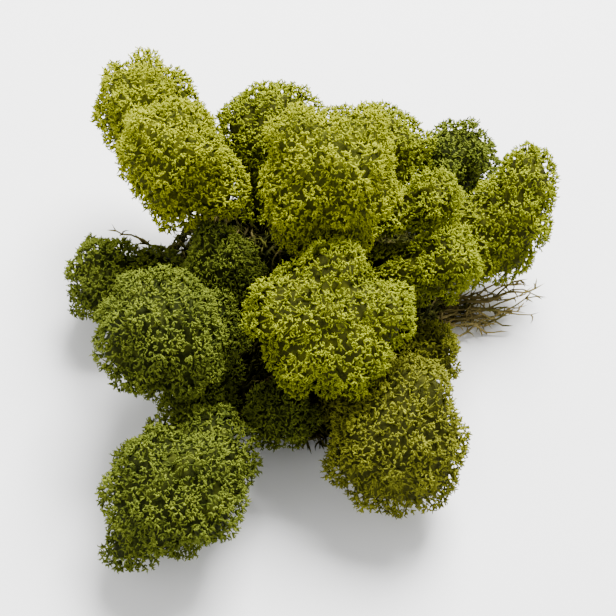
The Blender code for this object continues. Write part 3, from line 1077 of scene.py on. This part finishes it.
    def add_painted_shade_core(self, growth: Growth) -> None:
        """Adds a near-black shell under the strands of the head: painted shade that stands for the deep shade
        inside it.

        Args:
            growth: The mesh that it is added to.
        """
        ways, faces = faceted_ball(self.CORE_SPLITS)
        depth = self.CLOSED_CORE_DEPTH + (self.CORE_DEPTH - self.CLOSED_CORE_DEPTH) * self.opened(ways)
        reach = self.tips.at(ways)
        rough = depth * growth.draw.uniform(*self.CORE_ROUGH, len(ways))
        reach = np.maximum(reach - rough, self.LEAST_CORE * reach)
        growth.add_core(self.core.middle + ways * reach[:, None], faces, self.CORE_ALONG, self.CORE_TONE)

    def add_whorls(
        self, growth: Growth, starts: np.ndarray, whorls: np.ndarray, normals: np.ndarray, tone: np.ndarray
    ) -> None:
        """Adds a stalk and a ring of curled arms at each whorl.

        Args:
            growth: The mesh that they are added to.
            starts: Where the stalks start.
            whorls: Where the arms start.
            normals: The way out of the surface at each whorl.
            tone: One tone for each whorl, with painted light on upward whorls and painted shade in the valleys.
        """
        draw, count = growth.draw, len(whorls)
        growth.add_shoots(self.STALK, starts, whorls, normals, tone)
        axes = unit(normals + draw.normal(0.0, self.ARM_LEAN, normals.shape))
        side = tangents_to(axes, random_directions(count, draw))
        other = np.cross(axes, side)
        arms = draw.choice(self.ARM_COUNTS, count)
        for arm in range(max(self.ARM_COUNTS)):
            live = np.flatnonzero(arms > arm)
            turn = TURN * arm / arms[live] + draw.normal(0.0, self.ARM_SHAKE, len(live))
            handed = draw.choice((-1.0, 1.0), len(live))
            curl = handed * self.ARM_TURN * draw.uniform(*self.ARM_CURLS, len(live))
            tall = draw.uniform(*self.ARM_HEIGHTS, len(live))[:, None]
            wide = draw.uniform(*self.ARM_REACHES, len(live))[:, None]
            path = np.empty((len(live), len(self.ARM_RISE), 3))
            for step, (rise, spread) in enumerate(zip(self.ARM_RISE, self.ARM_SPREAD)):
                angle = (turn + curl * (spread / self.ARM_SPREAD[-1]) ** 2)[:, None]
                out = np.cos(angle) * side[live] + np.sin(angle) * other[live]
                path[:, step] = whorls[live] + axes[live] * (rise * tall) + out * (spread * wide)
            shade = np.clip(tone[live] + draw.normal(0.0, self.ARM_TONE, len(live)), 0.0, 1.0)
            growth.add_strands(path, self.ARM_WIDTHS, self.ARM_ALONG, shade)
            self.add_forks(growth, path, axes[live], shade)

    def add_forks(self, growth: Growth, arms: np.ndarray, axes: np.ndarray, tone: np.ndarray) -> None:
        """Adds the short side branch of every arm.

        Args:
            growth: The mesh that they are added to.
            arms: The arms' lines, by arm and point.
            axes: The axis of each arm's whorl.
            tone: One tone for each arm.
        """
        draw, column = growth.draw, (len(arms), 1)
        last = arms[:, -1] - arms[:, -2]
        ahead = unit(last)
        across = np.cross(axes, ahead) * draw.choice((-1.0, 1.0), len(arms))[:, None]
        lift = draw.uniform(*self.FORK_LIFTS, column)
        way = unit(across * self.FORK_OUT + ahead * self.FORK_AHEAD + axes * lift)
        roots = arms[:, -2] + last * draw.uniform(*self.FORK_PLACES, column)
        tips = roots + way * self.FORK_REACH * draw.uniform(*self.FORK_REACHES, column)
        growth.add_strands(np.stack([roots, tips], axis=1), self.FORK_WIDTHS, self.FORK_ALONG, tone)


@dataclass
class StemMat:
    """The base: old stems that cross round a dark core, and dead stems that trail out of it."""

    solid: Solid
    core: StarField

    MAT_SEED = 7999
    CORE_DEPTH = 1.6 * MM
    CORE_ROUGH = (0.8, 1.2)
    CORE_SPLITS = 4
    CORE_ALONG = 0.05
    CORE_TONE = 0.0
    CANDIDATES = 30000
    FOOT_HEIGHT = 0.25 * MM
    FLOOR_ROOM = 0.05 * MM
    LEAST_HEIGHT = 0.25 * MM
    HEAD_ROOM = 0.94
    STRAND_SPACING = 1.6 * MM
    STRAND_STEPS = 5
    STRAND_STEP = 1.7 * MM
    STRAND_BEND = 0.25
    STRAND_LIFTS = (-0.5, 0.3)
    STRAND_WIDTHS = (0.27 * MM, 0.3 * MM, 0.28 * MM, 0.22 * MM)
    STRAND_GIRTHS = (0.75, 1.35)
    STRAND_ALONG = (0.25, 0.85)
    ALONG_SWING = 0.15
    STRAND_TONES = (0.0, 0.5)
    TIGHTEST = 4.0 * MM
    WEAVE = 0.7 * MM
    WEAVE_STEP = 1.3
    UNDERGROWTH_SPACING = 2.0 * MM
    UNDERGROWTH_ARMS = 4
    UNDERGROWTH_DEPTH = 0.8 * MM
    UNDERGROWTH_LEAN = 0.75
    UNDERGROWTH_REACH = (1.0 * MM, 2.4 * MM)
    UNDERGROWTH = Shoot(
        widths=(0.24 * MM, 0.2 * MM, 0.16 * MM),
        along=(0.3, 0.6, 0.85, 1.0),
        bend=0.4 * MM,
        tones=(0.0, 0.45),
    )
    SPIKE_PROUD = 1.6 * MM
    SPIKE_HEIGHT = 1.0 * MM
    SPIKE_SPACING = 3.0 * MM
    WISPS_PER_SPIKE = 2
    WISP_SWAY = 2.0 * MM
    SWAY_SHARE = 0.11
    SWAY_WAVES = (1.2, 2.9)
    WISP_ROOT = 0.85
    ROOT_SHARES = (0.62, 0.8)
    WISP_STEPS = 13
    WISP_SHORTFALL = 7.0
    WISP_SPREAD = 3.0
    WISP_HEIGHT = 0.5 * MM
    WISP_WIDTHS = (0.42, 0.2)
    WISP_GIRTHS = (0.75, 1.2)
    WISP_ALONG = (0.3, 0.95)
    WISP_TONES = (0.45, 1.0)
    TWIGS_PER_WISP = 9
    TWIG_REACH = (0.9, 2.4)
    TWIG_BEND = 0.7
    TWIG_BEND_SHARE = 0.6
    TWIG_TURNS = (-0.4, 0.9)
    TWIG_WIDTHS = (0.24 * MM, 0.2 * MM, 0.15 * MM)
    TWIG_ALONG = (0.5, 0.7, 0.9, 1.0)

    def build(self, heads: list[MossHead]) -> bpy.types.Object:
        """Grows the mat.

        Args:
            heads: The heads that hide most of it.

        Returns:
            The base's piece.
        """
        growth = Growth("stem_base_old_stems", np.random.default_rng(self.MAT_SEED))
        self.add_painted_shade_core(growth)
        self.add_lying_stems(growth, heads)
        self.add_undergrowth(growth, heads)
        self.add_trailing_stems(growth)
        piece = growth.piece(FINISHES[Slot.STEMS].material(), self.FLOOR_ROOM)
        LOG.info("%s: %d triangles", growth.name, growth.face_total())
        return piece

    def open_ways(self, heads: list[MossHead], spacing: float, draw: np.random.Generator) -> np.ndarray:
        """Spreads directions over the part of the mat that no head covers.

        Args:
            heads: The heads that may cover it.
            spacing: The least distance between two places.
            draw: The source of the random directions.

        Returns:
            Unit directions, one a row.
        """
        ways = random_directions(self.CANDIDATES, draw)
        ways[:, 2] = np.abs(ways[:, 2])
        surface = self.core.points(ways)
        free = surface[:, 2] > self.LEAST_HEIGHT
        for head in heads:
            free &= head.tips.share(surface) > self.HEAD_ROOM
        ways, surface = ways[free], surface[free]
        return ways[thinned(surface, spacing)]

    def reach(self, ways: np.ndarray, depth: np.ndarray) -> np.ndarray:
        """Returns how far the base runs this deep under its surface, cut off level at its foot."""
        fall = np.maximum(-ways[..., 2], TINY)
        return np.minimum(self.core.at(ways) - depth, (self.core.middle[2] - self.FOOT_HEIGHT) / fall)

    def add_painted_shade_core(self, growth: Growth) -> None:
        """Adds the near-black middle of the base, with its flat foot: partly the real dense mat of old stems,
        partly painted shade.

        Args:
            growth: The mesh that it is added to.
        """
        ways, faces = faceted_ball(self.CORE_SPLITS)
        depth = self.CORE_DEPTH * growth.draw.uniform(*self.CORE_ROUGH, len(ways))
        points = self.core.middle + ways * self.reach(ways, depth)[:, None]
        growth.add_core(points, faces, self.CORE_ALONG, self.CORE_TONE)

    def add_lying_stems(self, growth: Growth, heads: list[MossHead]) -> None:
        """Adds stems that lie along the surface and pass over and under each other.

        Args:
            growth: The mesh that they are added to.
            heads: The heads that hide most of the mat.
        """
        draw = growth.draw
        ways = self.open_ways(heads, self.STRAND_SPACING, draw)
        heading = tangents_to(ways, random_directions(len(ways), draw))
        bend = draw.normal(0.0, self.STRAND_BEND, len(ways))
        phase = draw.uniform(0.0, TURN, len(ways))
        paths = np.empty((len(ways), self.STRAND_STEPS, 3))
        lift = draw.uniform(*self.STRAND_LIFTS, len(ways)) * MM
        for step in range(self.STRAND_STEPS):
            weave = self.WEAVE * np.sin(phase + step * self.WEAVE_STEP) + lift
            paths[:, step] = self.core.points(ways, -weave)
            angle = self.STRAND_STEP / np.maximum(self.core.at(ways), self.TIGHTEST)
            ahead = unit(ways + heading * angle[:, None])
            turned = heading + np.cross(ways, heading) * bend[:, None]
            heading, ways = tangents_to(ahead, turned), ahead
        paths = paths[(paths[:, :, 2] > self.LEAST_HEIGHT).all(axis=1)]
        column = (len(paths), 1)
        widths = self.STRAND_WIDTHS * draw.uniform(*self.STRAND_GIRTHS, column)
        swing = np.linspace(-self.ALONG_SWING, self.ALONG_SWING, self.STRAND_STEPS)[None]
        along = np.clip(draw.uniform(*self.STRAND_ALONG, column) + swing, 0.0, 1.0)
        growth.add_strands(paths, widths, along, draw.uniform(*self.STRAND_TONES, len(paths)))

    def add_undergrowth(self, growth: Growth, heads: list[MossHead]) -> None:
        """Adds short dull branchlets that stand on the mat between the heads.

        Args:
            growth: The mesh that they are added to.
            heads: The heads that hide most of the mat.
        """
        draw = growth.draw
        ways = self.open_ways(heads, self.UNDERGROWTH_SPACING, draw)
        roots = self.core.points(ways, self.UNDERGROWTH_DEPTH)
        tone = draw.uniform(*self.UNDERGROWTH.tones, len(ways))
        for _ in range(self.UNDERGROWTH_ARMS):
            out = unit(ways + self.UNDERGROWTH_LEAN * random_directions(len(ways), draw))
            reach = draw.uniform(*self.UNDERGROWTH_REACH, (len(ways), 1))
            tips = roots + (self.UNDERGROWTH_DEPTH + reach) * out
            growth.add_shoots(self.UNDERGROWTH, roots, tips, ways, tone)

    def spikes(self) -> np.ndarray:
        """Finds the ends of the stems that stand out of the solid.

        Returns:
            The end points, one for each stem.
        """
        points = self.solid.points
        distance = np.linalg.norm(points - self.core.middle, axis=1)
        proud = (self.core.share(points) - 1.0) * distance
        ends = np.flatnonzero((proud > self.SPIKE_PROUD) & (points[:, 2] > self.SPIKE_HEIGHT))
        raised = points[ends[np.argsort(-distance[ends])]]
        return raised[thinned(raised, self.SPIKE_SPACING)]

    def add_trailing_stems(self, growth: Growth) -> None:
        """Adds the stems that stand out of the mat or trail from it, in loose wisps with short side twigs.

        Args:
            growth: The mesh that they are added to.
        """
        draw = growth.draw
        ends = np.repeat(self.spikes(), self.WISPS_PER_SPIKE, axis=0)
        count = len(ends)
        column = (count, 1)
        away = ends - self.core.middle
        length = np.linalg.norm(away, axis=1, keepdims=True)
        heading = away / length
        tips = ends - heading * draw.uniform(0.0, self.WISP_SHORTFALL, column) * MM
        aside = tangents_to(heading, random_directions(count, draw))
        tips += aside * draw.uniform(0.0, self.WISP_SPREAD, column) * MM
        start = length * draw.uniform(*self.ROOT_SHARES, column)
        start = np.minimum(start, self.WISP_ROOT * self.core.at(heading)[:, None])
        roots = self.core.middle + heading * start
        run = np.linalg.norm(tips - roots, axis=1)[:, None, None]
        sway = np.minimum(self.WISP_SWAY, self.SWAY_SHARE * run)
        share = np.linspace(0.0, 1.0, self.WISP_STEPS)[None, :, None]
        paths = roots[:, None] * (1.0 - share) + tips[:, None] * share
        for waves in self.SWAY_WAVES:
            across = tangents_to(heading, random_directions(count, draw))[:, None]
            phase = draw.uniform(0.0, TURN, (count, 1, 1))
            swing = np.sin(phase + share * waves * TURN) - np.sin(phase) * (1.0 - share)
            paths += across * swing * sway / waves * share**0.5
        paths[:, :, 2] = np.maximum(paths[:, :, 2], self.WISP_HEIGHT)
        thickness = np.linspace(*self.WISP_WIDTHS, self.WISP_STEPS - 1) * MM
        widths = thickness * draw.uniform(*self.WISP_GIRTHS, column)
        along = np.linspace(*self.WISP_ALONG, self.WISP_STEPS)
        tone = draw.uniform(*self.WISP_TONES, count)
        growth.add_strands(paths, widths, along, tone)
        self.add_side_twigs(growth, paths, tone)

    def add_side_twigs(self, growth: Growth, wisps: np.ndarray, tone: np.ndarray) -> None:
        """Adds the short twigs that stand off the trailing stems.

        Args:
            growth: The mesh that they are added to.
            wisps: The trailing stems' lines, by stem and point.
            tone: One tone for each trailing stem.
        """
        draw, count = growth.draw, len(wisps)
        column = (count, 1)
        rows = np.arange(count)
        for _ in range(self.TWIGS_PER_WISP):
            place = draw.integers(2, self.WISP_STEPS - 1, count)
            here = wisps[rows, place]
            ahead = unit(wisps[rows, place + 1] - here)
            across = tangents_to(ahead, random_directions(count, draw))
            reach = draw.uniform(*self.TWIG_REACH, column) * MM
            bends = here + (ahead + across) * self.TWIG_BEND * reach * self.TWIG_BEND_SHARE
            tips = here + (ahead * draw.uniform(*self.TWIG_TURNS, column) + across) * reach
            twigs = curves(here, bends, tips, len(self.TWIG_ALONG))
            growth.add_strands(twigs, self.TWIG_WIDTHS, self.TWIG_ALONG, tone)


@dataclass(frozen=True)
class MossClump:
    """The whole clump: every head, and the base that carries them."""

    FOOT_LIMIT = 0.1 * MM
    MIDDLE_HEIGHT = 0.5 * MM

    def build(self) -> None:
        """Builds every piece, parents it to the body and hides the node that it stands for."""
        slots = {part["node"]: Slot(part["material_slot"]) for part in FRAME["record"]["subparts"]}
        heads = []
        for seed, node in enumerate(sorted(set(slots) - {BASE_NODE})):
            solid = Solid.of(node)
            core = StarField.of_node(solid.tree, solid.widest_point())
            heads.append(MossHead(solid, slots[node], core, seed))
        solid = Solid.of(BASE_NODE)
        foot = solid.points[solid.points[:, 2] < self.FOOT_LIMIT].mean(axis=0)
        foot[2] = self.MIDDLE_HEIGHT
        mat = StemMat(solid, StarField.of_node(solid.tree, foot, mirrored=True))
        for head in heads:
            head.share_out(heads, mat.core)
        for head in heads:
            self.declare(head.build(), head.solid.node, head.slot)
        self.declare(mat.build(heads), BASE_NODE, slots[BASE_NODE])

    @staticmethod
    def declare(piece: bpy.types.Object, node: str, slot: Slot) -> None:
        """Parents the piece to the body, and hides the node that it stands for.

        Args:
            piece: The piece.
            node: The node's name.
            slot: The slot that it is painted from; not used.
        """
        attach(piece, BODY)
        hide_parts(node)


@dataclass(frozen=True)
class Studio:
    """The floor, the lights and the camera."""

    floor_radius: float = 3.0
    floor_sides: int = 96
    floor_drop: float = 0.02 * MM
    floor_colour: Colour = (0.93, 0.93, 0.93)
    floor_shade: float = 0.97
    floor_rough: float = 0.7
    cloud_scale: float = 6.0
    sky_colour: Colour = (1.0, 1.0, 1.0)
    sky_strength: float = 0.8
    camera_place: Place = (-75.7 * MM, -150.5 * MM, 266.5 * MM)
    camera_forward: Place = (0.2273, 0.4921, -0.8404)
    camera_up: Place = (0.0741, 0.8517, 0.5188)
    lens: float = 86.0
    near_limit: float = 0.01
    lamps: tuple[tuple[str, Place, float, float], ...] = (
        ("overhead", (0.16, 0.42, 0.66), 0.45, 31.5),
        ("left_fill", (-0.65, -0.15, 0.45), 0.6, 3.0),
    )

    def build(self) -> None:
        """Sets up the studio round the clump."""
        self.add_floor()
        self.add_sky()
        for name, place, size, power in self.lamps:
            self.add_lamp(name, place, size, power)
        self.add_camera()

    def add_floor(self) -> None:
        """Adds the pale floor."""
        disc = bmesh.new()
        bmesh.ops.create_circle(disc, cap_ends=True, segments=self.floor_sides, radius=self.floor_radius)
        mesh = bpy.data.meshes.new("floor")
        disc.to_mesh(mesh)
        disc.free()
        floor = placed("floor", mesh)
        floor.location.z = -self.floor_drop
        material = bpy.data.materials.new("pale_floor")
        material.use_nodes = True
        nodes = NodeKit(material.node_tree)
        shader = material.node_tree.nodes["Principled BSDF"]
        cloud = nodes.noise(nodes.add("ShaderNodeTexCoord").outputs["Object"], self.cloud_scale, 2.0)
        tint = nodes.add("ShaderNodeValToRGB")
        tint.color_ramp.elements[0].color = (*(self.floor_shade * value for value in self.floor_colour), 1.0)
        tint.color_ramp.elements[1].color = (*self.floor_colour, 1.0)
        nodes.join(cloud, tint.inputs["Fac"])
        nodes.join(tint.outputs["Color"], shader.inputs["Base Color"])
        shader.inputs["Roughness"].default_value = self.floor_rough
        mesh.materials.append(material)

    def add_sky(self) -> None:
        """Surrounds the clump with soft even light."""
        world = bpy.data.worlds.new("soft_surround")
        world.use_nodes = True
        background = world.node_tree.nodes["Background"]
        background.inputs["Color"].default_value = (*self.sky_colour, 1.0)
        background.inputs["Strength"].default_value = self.sky_strength
        bpy.context.scene.world = world

    def add_lamp(self, name: str, place: Place, size: float, power: float) -> None:
        """Adds a soft square lamp that shines at the clump.

        Args:
            name: Its name.
            place: Where it hangs.
            size: Its width.
            power: Its power in watts.
        """
        lamp = bpy.data.lights.new(name, "AREA")
        lamp.size = size
        lamp.energy = power
        body = placed(name, lamp)
        body.location = place
        body.rotation_euler = (-Vector(place)).to_track_quat("-Z", "Y").to_euler()

    def add_camera(self) -> None:
        """Adds the camera where the photograph was taken from, turned to the clump."""
        view = bpy.data.cameras.new("camera")
        view.lens = self.lens
        view.clip_start = self.near_limit
        camera = placed("camera", view)
        back = -Vector(self.camera_forward).normalized()
        up = Vector(self.camera_up)
        up = (up - back * up.dot(back)).normalized()
        right = up.cross(back)
        turn = Matrix((right, up, back)).transposed()
        camera.matrix_world = Matrix.Translation(self.camera_place) @ turn.to_4x4()
        bpy.context.scene.camera = camera


def main() -> None:
    """Builds the clump and the studio."""
    logging.basicConfig(level=logging.INFO, format="%(name)s: %(message)s")
    MossClump().build()
    Studio().build()


if __name__ == "__main__":
    main()
